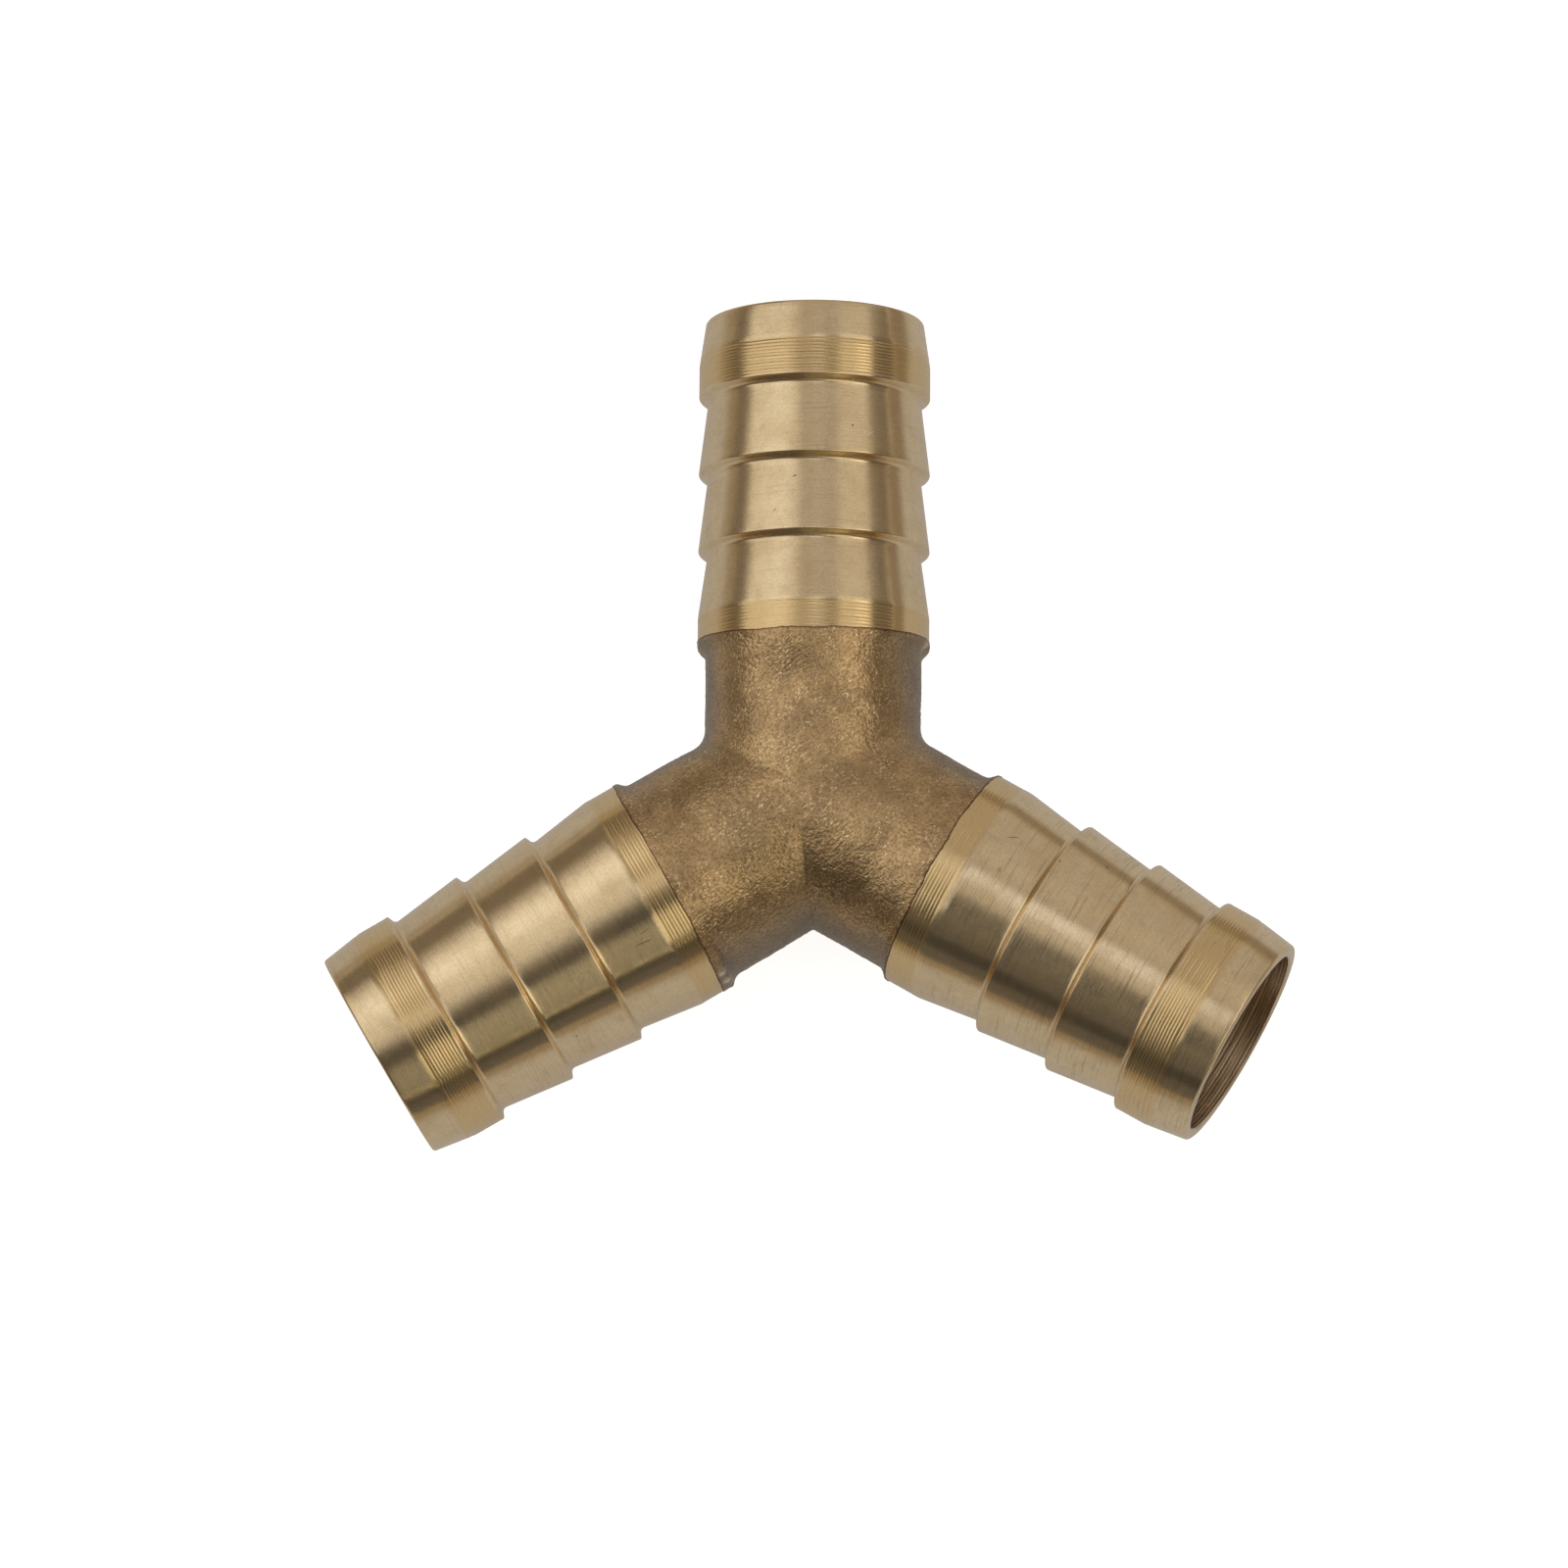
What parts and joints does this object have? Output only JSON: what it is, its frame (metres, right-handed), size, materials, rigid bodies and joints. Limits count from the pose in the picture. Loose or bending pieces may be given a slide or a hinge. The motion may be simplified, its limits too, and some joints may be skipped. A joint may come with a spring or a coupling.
{
  "type": "barbed y hose connector",
  "caption": "Y-shaped brass hose connector: barbed, bored tails set evenly around a rough cast hub.",
  "frame": {"origin": "the point where the three tail axes meet, at the middle of the hub", "axes": "+Y along hose_tail_top, out of its mouth; +Z square to the plane of the Y; +X across it, so that hose_tail_right points between +X and -Y"},
  "size_m": [0.0835, 0.0723, 0.02],
  "materials": {
    "cast_brass": "as cast, sandy and matt",
    "turned_brass": "lathe turned, satin bright with fine feed marks"
  },
  "bodies": {
    "root": {"cast_hub": "cast_brass", "hose_tail_top": "turned_brass", "hose_tail_left": "turned_brass", "hose_tail_right": "turned_brass"}
  },
  "joints": []
}
